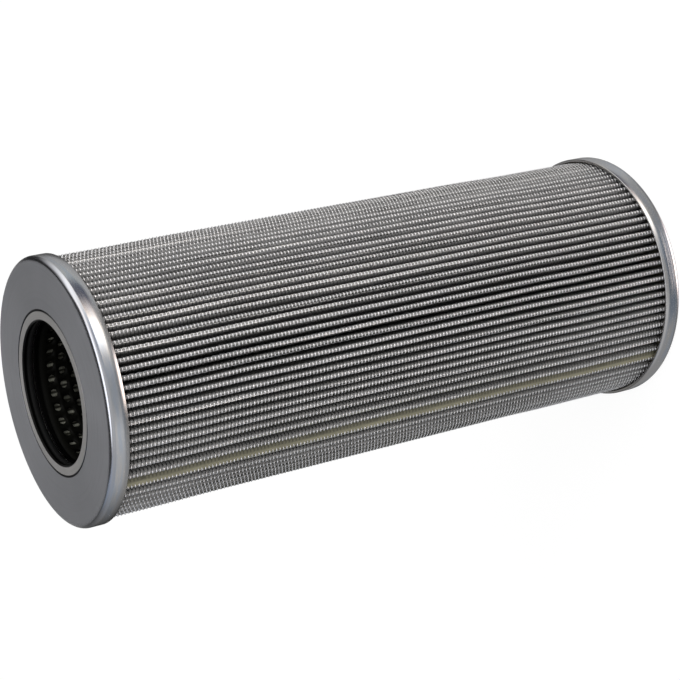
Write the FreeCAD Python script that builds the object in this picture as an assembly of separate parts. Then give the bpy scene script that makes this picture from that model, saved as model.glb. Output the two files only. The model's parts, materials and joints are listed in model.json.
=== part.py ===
import FreeCAD, Part

import math
import os

from FreeCAD import Vector

# Replaceable hydraulic filter element, in millimetres. It stands on its closed end, with its axis on Z
# and the bore that takes the filter head's spigot at the top.

# Whole element
element_length = 241.0
cap_diameter = 96.0

# Pressed steel end caps
cap_sheet = 1.0
cap_corner_radius = 2.1
open_rim_height = 7.0
blind_rim_height = 7.5

# Centring dish pressed into the closed cap
dish_mouth_diameter = 36.0
dish_wall_run = 4.0
dish_depth = 2.5

# Seal ring and its groove in the bore
bore_diameter = 51.0
seal_section = 2.62
seal_proud = 0.15
seal_side_play = 0.19
upper_land = 1.3

# Turned collar round the bore
collar_wall = 1.28
collar_floor = 0.7
collar_flange_width = 2.25
collar_lead_in = 0.5
collar_lip_wall = 0.7
collar_lip_height = 1.0
collar_fit = 0.05
edge_break = 0.4

# Perforated core tube
core_wall = 1.0
core_fit = 0.1
hole_diameter = 3.0
hole_rows = 12
holes_per_row = 8
hole_row_margin = 5.8

# Pleated pack: four plies folded together, named from the outside in
outer_mesh_thickness = 0.34
media_thickness = 0.18
fleece_thickness = 0.08
inner_mesh_thickness = 0.20
pack_rim_gap = 0.35
pack_core_gap = 0.2
pleat_root_gap = 0.23
crest_break = 0.35

# Adhesive that seals the pack into the caps
blind_potting_thickness = 4.0
potting_fit = 0.1

# Glued side seam between the pack's two ends, in degrees round the axis where it is an angle
seam_place = -138.4
seam_gap = 6.3
seam_root_width = 0.3
seam_spread = 0.45
seam_spread_reach = 1.2

# Caps
cap_radius = cap_diameter / 2
rim_radius = cap_radius - cap_sheet
bend_radius = cap_corner_radius - cap_sheet
cap_underside = element_length - cap_sheet

# Collar, groove and seal
bore_radius = bore_diameter / 2
groove_radius = bore_radius - seal_proud + seal_section
groove_top = element_length - upper_land
groove_bottom = groove_top - seal_section - 2 * seal_side_play
collar_underside = groove_bottom - collar_floor
collar_face_radius = groove_radius + collar_wall
collar_flange_radius = collar_face_radius + collar_flange_width
collar_lip_radius = bore_radius + collar_lip_wall

# Core tube
core_inner_radius = collar_lip_radius + core_fit
core_outer_radius = core_inner_radius + core_wall

# Pleated pack
pack_thickness = outer_mesh_thickness + media_thickness + fleece_thickness + inner_mesh_thickness
pack_bottom = cap_sheet + blind_potting_thickness
pack_height = collar_underside - pack_bottom
crest_radius = rim_radius - pack_rim_gap
pack_inner_radius = core_outer_radius + pack_core_gap
valley_radius = pack_inner_radius + pack_thickness
root_arc = 2 * math.pi * pack_inner_radius * (1 - seam_gap / 360)
pleat_count = int(root_arc / (2 * pack_thickness + pleat_root_gap))


def turned(outline):
    """A full turn about Z of a closed outline, given as (radius, height) points."""
    points = [Vector(radius, 0, height) for radius, height in outline]
    face = Part.Face(Part.makePolygon(points + points[:1]))
    return face.revolve(Vector(0, 0, 0), Vector(0, 0, 1), 360)


def ring(inner_radius, outer_radius, low, high):
    """A plain ring about Z between two heights."""
    return turned([(inner_radius, low), (outer_radius, low), (outer_radius, high), (inner_radius, high)])


def rounded(shape, fillet, radius, height):
    """The shape with its round edge of one radius and height filleted, where the fillet has a size."""
    if fillet <= 0:
        return shape
    found = []
    for edge in shape.Edges:
        circle = edge.Curve
        if isinstance(circle, Part.Circle) and abs(circle.Radius - radius) < 1e-4:
            if abs(circle.Center.z - height) < 1e-4:
                found.append(edge)
    return shape.makeFillet(fillet, found)


def cap_cup(rim_height, floor):
    """A pressed cup, open upwards. The floor runs from its upper side round the middle to its underside."""
    outline = floor + [(cap_radius, 0), (cap_radius, rim_height), (rim_radius, rim_height), (rim_radius, cap_sheet)]
    cup = rounded(turned(outline), cap_corner_radius, cap_radius, 0)
    return rounded(cup, bend_radius, rim_radius, cap_sheet)


def end_cap_open():
    """The bored cap: a cup turned over, with a hole round the collar's face and a broken edge on that hole."""
    hole_radius = collar_face_radius + collar_fit
    broken = min(edge_break, cap_sheet / 2)
    cup = cap_cup(open_rim_height, [(hole_radius, cap_sheet), (hole_radius, broken), (hole_radius + broken, 0)])
    cup.rotate(Vector(0, 0, 0), Vector(1, 0, 0), 180)
    cup.translate(Vector(0, 0, element_length))
    return cup


def end_cap_blind():
    """The closed cap, with a shallow dish pressed up into its middle."""
    mouth = dish_mouth_diameter / 2
    bottom = mouth - dish_wall_run
    upper = [(mouth, cap_sheet), (bottom, dish_depth + cap_sheet), (0, dish_depth + cap_sheet)]
    lower = [(0, dish_depth), (bottom, dish_depth), (mouth, 0)]
    return cap_cup(blind_rim_height, upper + lower)


def bore_collar():
    """The turned collar: face land, flange under the cap sheet, seal groove and a lip inside the core tube."""
    broken = min(edge_break, cap_sheet / 2)
    lip_end = collar_underside - collar_lip_height
    outline = [
        (bore_radius, lip_end),
        (collar_lip_radius, lip_end),
        (collar_lip_radius, collar_underside),
        (collar_flange_radius, collar_underside),
        (collar_flange_radius, cap_underside),
        (collar_face_radius, cap_underside),
        (collar_face_radius, element_length - broken),
        (collar_face_radius - broken, element_length),
        (bore_radius + collar_lead_in, element_length),
        (bore_radius, element_length - collar_lead_in),
        (bore_radius, groove_top),
        (groove_radius, groove_top),
        (groove_radius, groove_bottom),
        (bore_radius, groove_bottom),
    ]
    return turned(outline)


def bore_seal():
    """The rubber ring in the collar's groove, which stands a little proud of the bore."""
    centre = Vector(0, 0, (groove_top + groove_bottom) / 2)
    return Part.makeTorus(groove_radius - seal_section / 2, seal_section / 2, centre, Vector(0, 0, 1))


def core_tube():
    """The perforated tube that holds the pack up from inside, with staggered rows of holes along it."""
    tube = ring(core_inner_radius, core_outer_radius, cap_sheet, collar_underside)
    low = cap_sheet + hole_row_margin
    row_pitch = (collar_underside - hole_row_margin - low) / (hole_rows - 1)
    drills = []
    for row in range(hole_rows):
        for number in range(holes_per_row):
            angle = 2 * math.pi * (number + row % 2 / 2) / holes_per_row
            outward = Vector(math.cos(angle), math.sin(angle), 0)
            start = Vector(0, 0, low + row * row_pitch) + outward * (core_inner_radius - core_wall)
            drills.append(Part.makeCylinder(hole_diameter / 2, 3 * core_wall, start, outward))
    return tube.cut(Part.makeCompound(drills))


def potting_open():
    """The adhesive that seals the pack into the bored cap, round the collar's flange."""
    outer = rim_radius - potting_fit
    body = ring(collar_flange_radius + potting_fit, outer, collar_underside, cap_underside)
    return rounded(body, bend_radius, outer, cap_underside)


def potting_blind():
    """The adhesive that seals the pack into the closed cap, round the core tube."""
    outer = rim_radius - potting_fit
    body = ring(core_outer_radius + potting_fit, outer, cap_sheet, pack_bottom)
    return rounded(body, bend_radius, outer, cap_sheet)


def crest_angles():
    """The angle of each crest, in degrees from the side seam: evenly spaced, but opened out beside the seam."""
    gaps = []
    for number in range(pleat_count - 1):
        from_seam = min(number, pleat_count - 2 - number)
        gaps.append(1 + seam_spread * math.exp(-from_seam / seam_spread_reach))
    scale = (360 - seam_gap) / sum(gaps)
    angles = [seam_gap / 2]
    for gap in gaps:
        angles.append(angles[-1] + gap * scale)
    return angles


def polar(radius, angle, aside):
    """The point at a radius along an angle from the seam, moved aside by a length across it."""
    turn = math.radians(seam_place + angle)
    x = radius * math.cos(turn) - aside * math.sin(turn)
    y = radius * math.sin(turn) + aside * math.cos(turn)
    return Vector(x, y, pack_bottom)


def crest_points(angle, depth):
    """One crest of a fold line: square shoulders inside the pack, broken ones outside, a point at its inner face."""
    radius = crest_radius - depth
    half = pack_thickness - depth
    if half < 1e-6:
        return [polar(radius, angle, 0)]
    if depth > 0:
        return [polar(radius, angle, -half), polar(radius, angle, half)]
    left = [polar(radius - crest_break, angle, -half), polar(radius, angle, crest_break - half)]
    right = [polar(radius, angle, half - crest_break), polar(radius - crest_break, angle, half)]
    return left + right


def valley_points(angle, depth):
    """One valley of a fold line, as wide on each side as it lies deep in the pack."""
    if depth == 0:
        return [polar(valley_radius, angle, 0)]
    return [polar(valley_radius - depth, angle, -depth), polar(valley_radius - depth, angle, depth)]


def fold_line(depth):
    """The pleated line that lies a depth under the pack's outer face, from one end of the pack to the other."""
    angles = crest_angles()
    points = [polar(valley_radius - depth, 0, seam_root_width / 2 + depth)]
    for angle, following in zip(angles, angles[1:]):
        points += crest_points(angle, depth) + valley_points((angle + following) / 2, depth)
    points += crest_points(angles[-1], depth)
    points.append(polar(valley_radius - depth, 0, -seam_root_width / 2 - depth))
    return points


def extruded(points):
    """A closed outline across the pack, drawn up to the pack's height."""
    face = Part.Face(Part.makePolygon(points + points[:1]))
    return face.extrude(Vector(0, 0, pack_height))


def pack_plies():
    """The plies by name, each folded between its own two depths in the pack."""
    thicknesses = {
        "outer_mesh": outer_mesh_thickness,
        "filter_media": media_thickness,
        "support_fleece": fleece_thickness,
        "inner_mesh": inner_mesh_thickness,
    }
    plies = {}
    depth = 0
    for ply, thickness in thicknesses.items():
        plies[ply] = extruded(fold_line(depth) + fold_line(depth + thickness)[::-1])
        depth += thickness
    return plies


def side_seam():
    """The wedge of adhesive that joins the pack's two ends, crowned a little between the two last crests."""
    line = fold_line(0)
    crown = polar(crest_radius - crest_break / 2, 0, 0)
    return extruded([line[0], line[1], crown, line[-2], line[-1]])


pieces = {
    "end_cap_open": end_cap_open(),
    "end_cap_blind": end_cap_blind(),
    "bore_collar": bore_collar(),
    "bore_seal": bore_seal(),
    "core_tube": core_tube(),
    "potting_open": potting_open(),
    "potting_blind": potting_blind(),
    "side_seam": side_seam(),
    **pack_plies(),
}

os.makedirs("parts", exist_ok=True)
for name, shape in pieces.items():
    shape.exportStep("parts/" + name + ".step")
    print(name, "valid" if shape.isValid() else "NOT VALID", round(shape.Volume, 1), len(shape.Solids))
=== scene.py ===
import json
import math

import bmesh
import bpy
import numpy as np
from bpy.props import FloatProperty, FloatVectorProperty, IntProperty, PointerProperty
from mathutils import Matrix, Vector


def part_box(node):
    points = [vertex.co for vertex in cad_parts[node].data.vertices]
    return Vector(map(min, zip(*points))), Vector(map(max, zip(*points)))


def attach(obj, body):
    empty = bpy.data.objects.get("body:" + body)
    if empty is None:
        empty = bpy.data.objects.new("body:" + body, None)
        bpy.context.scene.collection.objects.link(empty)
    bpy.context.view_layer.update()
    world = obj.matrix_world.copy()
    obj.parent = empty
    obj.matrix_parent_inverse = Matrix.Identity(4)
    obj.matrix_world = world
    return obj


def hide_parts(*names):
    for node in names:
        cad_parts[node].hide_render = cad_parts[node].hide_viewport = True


bl_info = {
    "name": "Pleated Filter Element",
    "version": (1, 0, 0),
    "blender": (4, 5, 0),
    "location": "View3D > Sidebar > Filter Element",
    "description": "Builds the visible pieces of a pleated hydraulic filter element on its packed model",
    "category": "Add Mesh",
}

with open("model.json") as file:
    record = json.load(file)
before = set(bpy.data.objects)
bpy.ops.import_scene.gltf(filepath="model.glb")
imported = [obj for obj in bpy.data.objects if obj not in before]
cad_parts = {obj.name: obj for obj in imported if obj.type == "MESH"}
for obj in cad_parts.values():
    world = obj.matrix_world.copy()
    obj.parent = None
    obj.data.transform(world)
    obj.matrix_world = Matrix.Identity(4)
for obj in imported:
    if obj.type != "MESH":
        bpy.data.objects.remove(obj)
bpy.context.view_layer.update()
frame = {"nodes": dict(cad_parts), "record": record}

MM = 0.001
BODY = "root"
MAP = "OFBake"

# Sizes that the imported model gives
CAP_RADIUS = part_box("end_cap_open")[1].x
CAP_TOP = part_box("end_cap_open")[1].z
OPEN_RIM_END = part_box("end_cap_open")[0].z
BLIND_RIM_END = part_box("end_cap_blind")[1].z
COLLAR_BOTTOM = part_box("bore_collar")[0].z
COLLAR_FLANGE_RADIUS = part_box("bore_collar")[1].x
SEAL_LOW, SEAL_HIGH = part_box("bore_seal")
GROOVE_RADIUS = SEAL_HIGH.x
SEAL_SECTION = SEAL_HIGH.z - SEAL_LOW.z
TUBE_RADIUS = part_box("core_tube")[1].x
TUBE_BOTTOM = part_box("core_tube")[0].z
TUBE_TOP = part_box("core_tube")[1].z
PACK_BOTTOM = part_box("outer_mesh")[0].z
PACK_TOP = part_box("outer_mesh")[1].z
PACK_HEIGHT = PACK_TOP - PACK_BOTTOM
BORE_RADIUS = frame["record"]["mounts"][0]["dims"]["r_mm"] * MM

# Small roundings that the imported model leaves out
LIP_ROUND = 0.38 * MM
BURR_ROUND = 0.12 * MM
DISH_ROUND = 1.0 * MM
COLLAR_ROUND = 0.08 * MM

# The side seam's section: millimetres aside of the seam's middle and out from the pleats' crests
SEAM_SECTION = (
    (-2.30, -2.6), (-2.36, -0.26), (-2.10, -0.46), (-1.85, -0.58), (-1.3, -0.56),
    (-0.7, -0.56), (-0.1, -0.66), (0.5, -1.02), (1.1, -1.60), (1.30, -2.6),
)
SEAM_MAP_WIDTH = 4.0 * MM

# Half the gap between the sheet's two ends at the seam, and how far the sheet follows the wires down a pleat
SHEET_END_GAP = 0.25 * MM
SHEET_SHOULDER = 1.8 * MM

# The length of cloth over which its wires turn upright at the foot of a crest's slope
UPRIGHT_TURN = 0.5 * MM

# How finely the pieces are divided, and how many pieces the wire cloth is parted into
STAGE_SIDES = 96
SEAL_SIDES = 20
HOLE_SIDES = 8
SEAM_LENGTHS = 120
CLOTH_PIECES = 6

# Corners nearer to each other than this are merged, and those as near to a circle as twice this lie on it
MERGED = 0.001 * MM

# The photograph's frame is square, and its view is fitted to the caps' outlines
CAMERA_PLACE = Vector((0.0, -0.62314, 0.470905))
CAMERA_AIM = Vector((-0.00324, 0.0, 0.12548))
CAMERA_ROLL = math.radians(-102.38)
CAMERA_LENS = 100.849
SENSOR_WIDTH = 36.0

# The floor lies a little under the closed cap's face, so that the two don't flicker where they meet
FLOOR_DROP = 0.05 * MM

# What the bright metal mirrors at each angle round the axis, in degrees, as grey or coloured light. The caps'
# rims look down at the near and far rows, the near cap's corner looks up at the level and high rows.
MIRRORS = {
    "far": {
        -180: 0.50, -150: 0.52, -130: (0.26, 0.30, 0.34), -90: (0.22, 0.26, 0.31), -70: (0.34, 0.38, 0.41),
        -50: 0.46, -30: 0.58, -10: 0.60, 10: 0.82, 30: 0.62, 48: 0.52, 62: 0.26, 90: 0.10, 115: 0.12,
        132: 0.36, 160: 0.45, 180: 0.50,
    },
    "near": {
        -180: 0.70, -150: 0.84, -130: 0.98, -112: 0.62, -92: 0.58, -80: (0.62, 0.68, 0.76),
        -70: (1.00, 0.95, 0.90), -63: (2.30, 2.15, 2.00), -54: (4.0, 3.9, 3.7), -43: (4.0, 3.8, 3.5),
        -35: (2.20, 1.95, 1.80), -26: (1.05, 0.93, 0.88), -17: (0.12, 0.13, 0.19), -3: (0.14, 0.15, 0.20),
        8: (0.86, 0.87, 0.82), 30: 0.66, 48: 0.50, 60: 0.12, 90: 0.05, 115: 0.06, 130: 0.14, 150: 0.30,
        170: 0.52, 180: 0.70,
    },
    "level": {
        -180: (0.54, 0.58, 0.64), -150: 0.66, -128: 0.80, -108: 0.66, -50: (0.56, 0.58, 0.64), -30: 1.45,
        0: 2.1, 26: 1.0, 46: 0.04, 62: 0.04, 72: 0.36, 108: 0.36, 122: 0.12, 140: 0.26,
        180: (0.54, 0.58, 0.64),
    },
    "high": {
        -180: (0.55, 0.60, 0.70), -140: 0.66, -110: 0.66, -88: 0.70, -70: 0.95, -55: 1.5,
        -30: (2.0, 1.9, 1.8), -10: (2.0, 1.95, 1.9), 8: 1.8, 26: 0.60, 46: 0.04, 62: 0.04, 72: 0.36,
        108: 0.36, 125: 0.12, 150: (0.40, 0.46, 0.55), 180: (0.55, 0.60, 0.70),
    },
}

# The light tent that holds the mirrors' rows, and the heights between which the row below passes into each
TENT_STRENGTH = 4.0
TENT_RADIUS = 0.45
TENT_HEIGHT = 1.5
TENT_MIDDLE = 0.15
TENT_ROWS = {"far": (-0.45, -0.37), "near": (-0.15, -0.05), "level": (0.12, 0.20), "high": (0.44, 0.50)}
TENT_ROOF = (0.68, 0.78)


def millimetres(name, description, default):
    """A length among the settings."""
    return FloatProperty(name=name, description=description, default=default * MM, unit="LENGTH")


def degrees(name, description, default):
    """An angle among the settings."""
    return FloatProperty(name=name, description=description, default=math.radians(default), subtype="ANGLE")


def plain(name, description, default, subtype="NONE"):
    """A number without a unit, a share or a lamp's power among the settings."""
    return FloatProperty(name=name, description=description, default=default, subtype=subtype)


def whole(name, description, default, least):
    """A count among the settings."""
    return IntProperty(name=name, description=description, default=default, min=least)


def shade(name, description, *default):
    """A colour among the settings, as linear red, green and blue."""
    return FloatVectorProperty(name=name, description=description, default=default, size=3,
                               subtype="COLOR", min=0, max=1)


class CapSizes(bpy.types.PropertyGroup):
    sheet: millimetres("Sheet", "Thickness of the pressed sheet", 1.0)
    corner: millimetres("Corner", "Outer radius of the pressed corner", 2.1)
    hole_radius: millimetres("Hole", "Radius of the hole round the collar's face", 29.3)
    edge_break: millimetres("Broken edge", "Width of the broken edges that make the V-groove", 0.4)
    dish_mouth: millimetres("Dish mouth", "Radius of the dish in the closed cap", 18.0)
    dish_wall: millimetres("Dish wall", "How far the dish's wall runs inwards", 4.0)
    dish_depth: millimetres("Dish depth", "Depth of the dish in the closed cap", 2.5)
    steps: whole("Steps", "Faces round a turned piece", 180, 24)


class CollarSizes(bpy.types.PropertyGroup):
    lead_in: millimetres("Lead-in", "Width of the bore's chamfer", 0.5)
    upper_land: millimetres("Upper land", "Depth of the seal groove below the face", 1.3)
    groove_width: millimetres("Groove width", "Width of the seal groove", 3.0)
    lip_height: millimetres("Lip", "Height of the lip inside the tube", 1.0)
    lip_wall: millimetres("Lip wall", "Wall of the lip inside the tube", 0.7)
    fit: millimetres("Fit", "Gap between the collar and the cap's hole", 0.05)


class TubeSizes(bpy.types.PropertyGroup):
    wall: millimetres("Wall", "Wall of the core tube", 1.0)
    hole: millimetres("Hole", "Radius of one hole", 1.5)
    holes_round: whole("Holes round", "Holes in one ring", 32, 4)
    ring_pitch: millimetres("Ring pitch", "Distance from one ring of holes to the next", 4.33)
    border: millimetres("Border", "From the tube's top to the first ring of holes", 5.8)


class ClothSizes(bpy.types.PropertyGroup):
    pleats: whole("Pleats", "Pleats round the pack", 92, 3)
    seam_place: degrees("Seam place", "Angle of the side seam round the axis", -138.4)
    seam_gap: degrees("Seam gap", "Angle between the two pleats beside the seam", 6.3)
    seam_spread: plain("Seam spread", "How much wider the gaps beside the seam are", 0.45, "FACTOR")
    seam_reach: plain("Seam reach", "Pleats over which the wider gaps fade", 1.2)
    rungs: whole("Rungs", "Wires that run round the pack, from one end to the other", 166, 2)
    wire: millimetres("Wire", "Radius of a wire that runs round the pack", 0.235)
    runner: millimetres("Runner", "Radius of a wire that runs along a pleat", 0.10)
    weave: millimetres("Weave", "How far the stout wires move in and out as they are woven", 0.05)
    runner_weave: millimetres("Runner weave", "How far the thin wires move in and out", 0.17)
    cell: millimetres("Cell", "Distance between the wires along a pleat", 1.39)
    crest: millimetres("Crest", "Radius of a pleat's crest at the wires' middle", 46.41)
    bend: millimetres("Bend", "Bend of a wire over the crest, at its middle", 0.50)
    slope: degrees("Slope", "How far the cloth has turned at the end of that bend", 62)
    half_width: millimetres("Half width", "From a pleat's middle to its upright side", 1.02)
    reach: millimetres("Reach", "Length of each wire on one side of the crest", 3.3)
    sheet: millimetres("Sheet", "Thickness of the sheet under the wires", 0.12)
    root: millimetres("Root", "Radius of the pleats' roots", 28.4)
    waver: millimetres("Waver", "How far a pleat strays sideways along its length", 0.08)
    bulge: millimetres("Bulge", "How far the pack's middle stands off the axis", 0.30)
    steps: whole("Steps", "Lengths that the sheet is divided into", 20, 1)


class Colours(bpy.types.PropertyGroup):
    face: shade("Cap face", "Satin sheet of the caps' faces", 0.400, 0.405, 0.430)
    rim: shade("Cap rim", "Drawn sheet of the caps' rims", 0.410, 0.418, 0.440)
    collar: shade("Collar", "Turned steel of the collar", 0.545, 0.532, 0.520)
    wire: shade("Wire", "Bright wire of the cloth", 0.930, 0.922, 0.930)
    sheet: shade("Sheet", "Fibre sheet under the wires", 0.335, 0.330, 0.321)
    seam: shade("Seam", "Olive adhesive of the side seam", 0.300, 0.282, 0.195)
    rubber: shade("Rubber", "Black rubber of the seal", 0.006, 0.006, 0.006)
    # The tube's own dark tone, made darker still as painted shade of the deep bore.
    tube: shade("Tube", "Dark sheet of the core tube", 0.004, 0.004, 0.003)
    resin: shade("Resin", "Adhesive inside the caps", 0.170, 0.160, 0.115)


class StageSettings(bpy.types.PropertyGroup):
    floor_radius: millimetres("Floor", "Radius of the floor", 12000)
    room_light: plain("Room light", "Strength of the soft light all round", 0.55, "FACTOR")
    key_power: plain("Key lamp", "Power of the main lamp", 16.0, "POWER")
    fill_power: plain("Fill lamp", "Power of the second lamp", 9.0, "POWER")
    whiteness: plain("Whiteness", "Share of plain white in the floor as it is seen", 0.80, "FACTOR")


def operators(operation):
    """An operator on two values in a material, which adds a Math node, and its reflected form."""
    return (lambda value, other: value.reckon(operation, value, other),
            lambda value, other: value.reckon(operation, other, value))


class Value:
    """A value inside a material. Arithmetic on it adds Math nodes."""

    __add__, __radd__ = operators("ADD")
    __sub__, __rsub__ = operators("SUBTRACT")
    __mul__, __rmul__ = operators("MULTIPLY")
    __truediv__, __rtruediv__ = operators("DIVIDE")

    def __init__(self, finish, socket):
        self.finish = finish
        self.socket = socket

    def reckon(self, operation, *values):
        return self.finish.node("ShaderNodeMath", {"operation": operation}, dict(enumerate(values)))

    def wave(self):
        return self.reckon("SINE", self)

    def size(self):
        return self.reckon("ABSOLUTE", self)

    def root(self):
        return self.reckon("SQRT", self)


class Nodes:
    """A node tree, whose nodes are made one way and fed with numbers or values."""

    def __init__(self, tree):
        self.tree = tree

    def feed(self, socket, value):
        if isinstance(value, Value):
            self.tree.links.new(value.socket, socket)
        else:
            socket.default_value = value

    def node(self, kind, settings=None, inputs=None, output=0):
        """A node of a kind, with its settings made before its sockets are fed."""
        made = self.tree.nodes.new(kind)
        for name, value in (settings or {}).items():
            if name == "stops":
                lay_stops(made.color_ramp.elements, value)
            else:
                setattr(made, name, value)
        for name, value in (inputs or {}).items():
            self.feed(made.inputs[name], value)
        return Value(self, made.outputs[output])

    def place(self):
        """The point on the piece, in metres."""
        return self.node("ShaderNodeTexCoord", output="Object")

    def parts(self, vector):
        """The three parts of a vector."""
        split = self.node("ShaderNodeSeparateXYZ", inputs={0: vector})
        return [Value(self, output) for output in split.socket.node.outputs]

    def joined(self, x, y, z):
        return self.node("ShaderNodeCombineXYZ", inputs={0: x, 1: y, 2: z})

    def mixed(self, factor, first, second):
        """A colour between two colours."""
        inputs = {0: factor, 6: colour(first), 7: colour(second)}
        return self.node("ShaderNodeMix", {"data_type": "RGBA"}, inputs, output=2)

    def noise(self, scale, detail=3.0, roughness=0.55, vector=None):
        """Noise over the piece, or along another vector."""
        inputs = {"Vector": vector or self.place(), "Scale": scale, "Detail": detail, "Roughness": roughness}
        return self.node("ShaderNodeTexNoise", inputs=inputs)

    def streaks(self, x, y, z, detail=3.0, roughness=0.55):
        """Noise that three values stretch."""
        return self.noise(1.0, detail, roughness, self.joined(x, y, z))

    def ramp(self, value, stops):
        """A grey or colour looked up along a value."""
        return self.node("ShaderNodeValToRGB", {"stops": stops}, {0: value})

    def between(self, value, low, high, easing="SMOOTHSTEP"):
        """0 below low and 1 above high, or the other way round if low is above high."""
        inputs = {"Value": value, "From Min": low, "From Max": high}
        return self.node("ShaderNodeMapRange", {"interpolation_type": easing}, inputs)

    def bump(self, height, distance, strength=1.0):
        """A normal from a height, where a height of 1 stands a distance out."""
        inputs = {"Strength": strength, "Distance": distance, "Height": height}
        return self.node("ShaderNodeBump", inputs=inputs)


class Finish(Nodes):
    """One material on a Principled shader, written as expressions on its values."""

    def __init__(self, name, constants):
        self.material = bpy.data.materials.new(name)
        self.material.use_nodes = True
        super().__init__(self.material.node_tree)
        self.shader = self.tree.nodes["Principled BSDF"]
        self.give(constants)

    def give(self, inputs):
        """Sets or links the shader's sockets by name. Gives the finish back."""
        for name, value in inputs.items():
            self.feed(self.shader.inputs[name], value)
        return self

    def mapped(self):
        """The point on the piece's own map: across the pleat and along it, from 0 to 1."""
        across, along, _ = self.parts(self.node("ShaderNodeUVMap", {"uv_map": MAP}))
        return across, along

    def round_axis(self):
        """The height and the radius in metres, and the two parts of the direction away from the axis."""
        x, y, z = self.parts(self.place())
        radius = (x * x + y * y).root()
        return z, radius, x / radius, y / radius

    def toned(self, share, base, tone):
        """A colour, and a darker or lighter tone of it by a share."""
        return self.mixed(share, base, toned(base, tone))

    def layered(self, start, base, layers):
        """Lays tones of a base colour over a colour. A layer is its cloud, the span of the cloud over which
        it fades in, its share and its tone."""
        for cloud, low, high, share, tone in layers:
            start = self.mixed(self.between(cloud, low, high) * share, start, toned(base, tone))
        return start


def colour(value):
    """A colour with its alpha, or a value as it is."""
    return value if isinstance(value, Value) else (*value[:3], 1.0)


def toned(base, tone):
    """A colour made darker or lighter."""
    return [part * tone for part in base]


def lay_stops(elements, stops):
    """Sets a ramp's stops, each a place and a colour."""
    while len(elements) < len(stops):
        elements.new(1.0)
    for element, (place, light) in zip(elements, stops):
        element.position = place
        element.color = colour(light)


def tent_stops(mirrors):
    """A ramp's stops once round the tent, from light by angle."""
    stops = []
    for angle, light in mirrors.items():
        parts = light if isinstance(light, tuple) else (light,) * 3
        stops.append(((angle + 180) / 360, [part / TENT_STRENGTH for part in parts]))
    return stops


def placed(name, data):
    """Puts data in the scene as an object."""
    item = bpy.data.objects.new(name, data)
    bpy.context.scene.collection.objects.link(item)
    return item


def as_mesh(name, bm):
    """A mesh of a bmesh, which is then done with."""
    mesh = bpy.data.meshes.new(name)
    bm.to_mesh(mesh)
    bm.free()
    return mesh


def add_piece(mesh, finish, replaced, sharp=30, weighted=False):
    """Puts a finished mesh in the scene as a piece that rides on the body. Edges that turn by more than the
    sharp angle, in degrees, stay sharp."""
    mesh.polygons.foreach_set("use_smooth", [True] * len(mesh.polygons))
    mesh.set_sharp_from_angle(angle=math.radians(sharp))
    mesh.materials.append(finish.material)
    piece = placed(mesh.name, mesh)
    if weighted:
        piece.modifiers.new("Flat faces stay flat", "WEIGHTED_NORMAL").keep_sharp = True
    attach(piece, BODY)
    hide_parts(*replaced)
    return piece


def dress(node, finish):
    """Gives a carried-over node its finish."""
    materials = frame["nodes"][node].data.materials
    materials.clear()
    materials.append(finish.material)


def only(items, kind):
    """The items of one kind, such as the corners that an operator made."""
    return [item for item in items if isinstance(item, kind)]


def spun(bm, steps):
    """Spins the section that a bmesh holds a full turn about the axis."""
    bmesh.ops.spin(bm, geom=bm.verts[:] + bm.edges[:], cent=(0, 0, 0), axis=(0, 0, 1), angle=math.tau,
                   steps=steps, use_merge=True)
    bmesh.ops.remove_doubles(bm, verts=bm.verts, dist=MERGED)
    bmesh.ops.dissolve_degenerate(bm, edges=bm.edges, dist=MERGED)
    bmesh.ops.recalc_face_normals(bm, faces=bm.faces)
    return bm


def turned(outline, steps):
    """A closed section of (radius, height) points, spun a full turn about the axis."""
    bm = bmesh.new()
    corners = [bm.verts.new((radius, 0.0, height)) for radius, height in outline]
    for pair in zip(corners, corners[1:] + corners[:1]):
        bm.edges.new(pair)
    return spun(bm, steps)


def round_edge(bm, radius, height, width, segments):
    """Rounds the circular edge at a radius and height."""
    near = 2 * MERGED
    found = []
    for edge in bm.edges:
        if all(abs(math.hypot(corner.co.x, corner.co.y) - radius) < near and abs(corner.co.z - height) < near
               for corner in edge.verts):
            found.append(edge)
    if not found:
        raise RuntimeError(f"no edge at radius {radius} and height {height}")
    bmesh.ops.bevel(bm, geom=found, offset=width, offset_type="OFFSET", segments=segments, profile=0.5,
                    affect="EDGES", material=-1, clamp_overlap=True)


def drawn_on(bm, edges, length):
    """Draws edges on by a length along Z. Gives the corners and the edges at the new end."""
    grown = bmesh.ops.extrude_edge_only(bm, edges=edges)["geom"]
    corners = only(grown, bmesh.types.BMVert)
    bmesh.ops.translate(bm, verts=corners, vec=(0, 0, length))
    return corners, only(grown, bmesh.types.BMEdge)


def repeated(bm, moves):
    """Repeats what a bmesh holds, a copy for each move."""
    pattern = bm.verts[:] + bm.edges[:] + bm.faces[:]
    for move in moves:
        copy = bmesh.ops.duplicate(bm, geom=pattern)["geom"]
        bmesh.ops.translate(bm, verts=only(copy, bmesh.types.BMVert), vec=move)


def groove_painted_dark(finish, start, radius, crease):
    """A colour that turns dark in a groove round the axis: painted shade."""
    # Painted shade, darkest in the groove's middle.
    oil = finish.between((radius - crease).size(), 0.47 * MM, 0.30 * MM)
    return finish.mixed(oil, start, (0.055, 0.055, 0.058))


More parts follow.
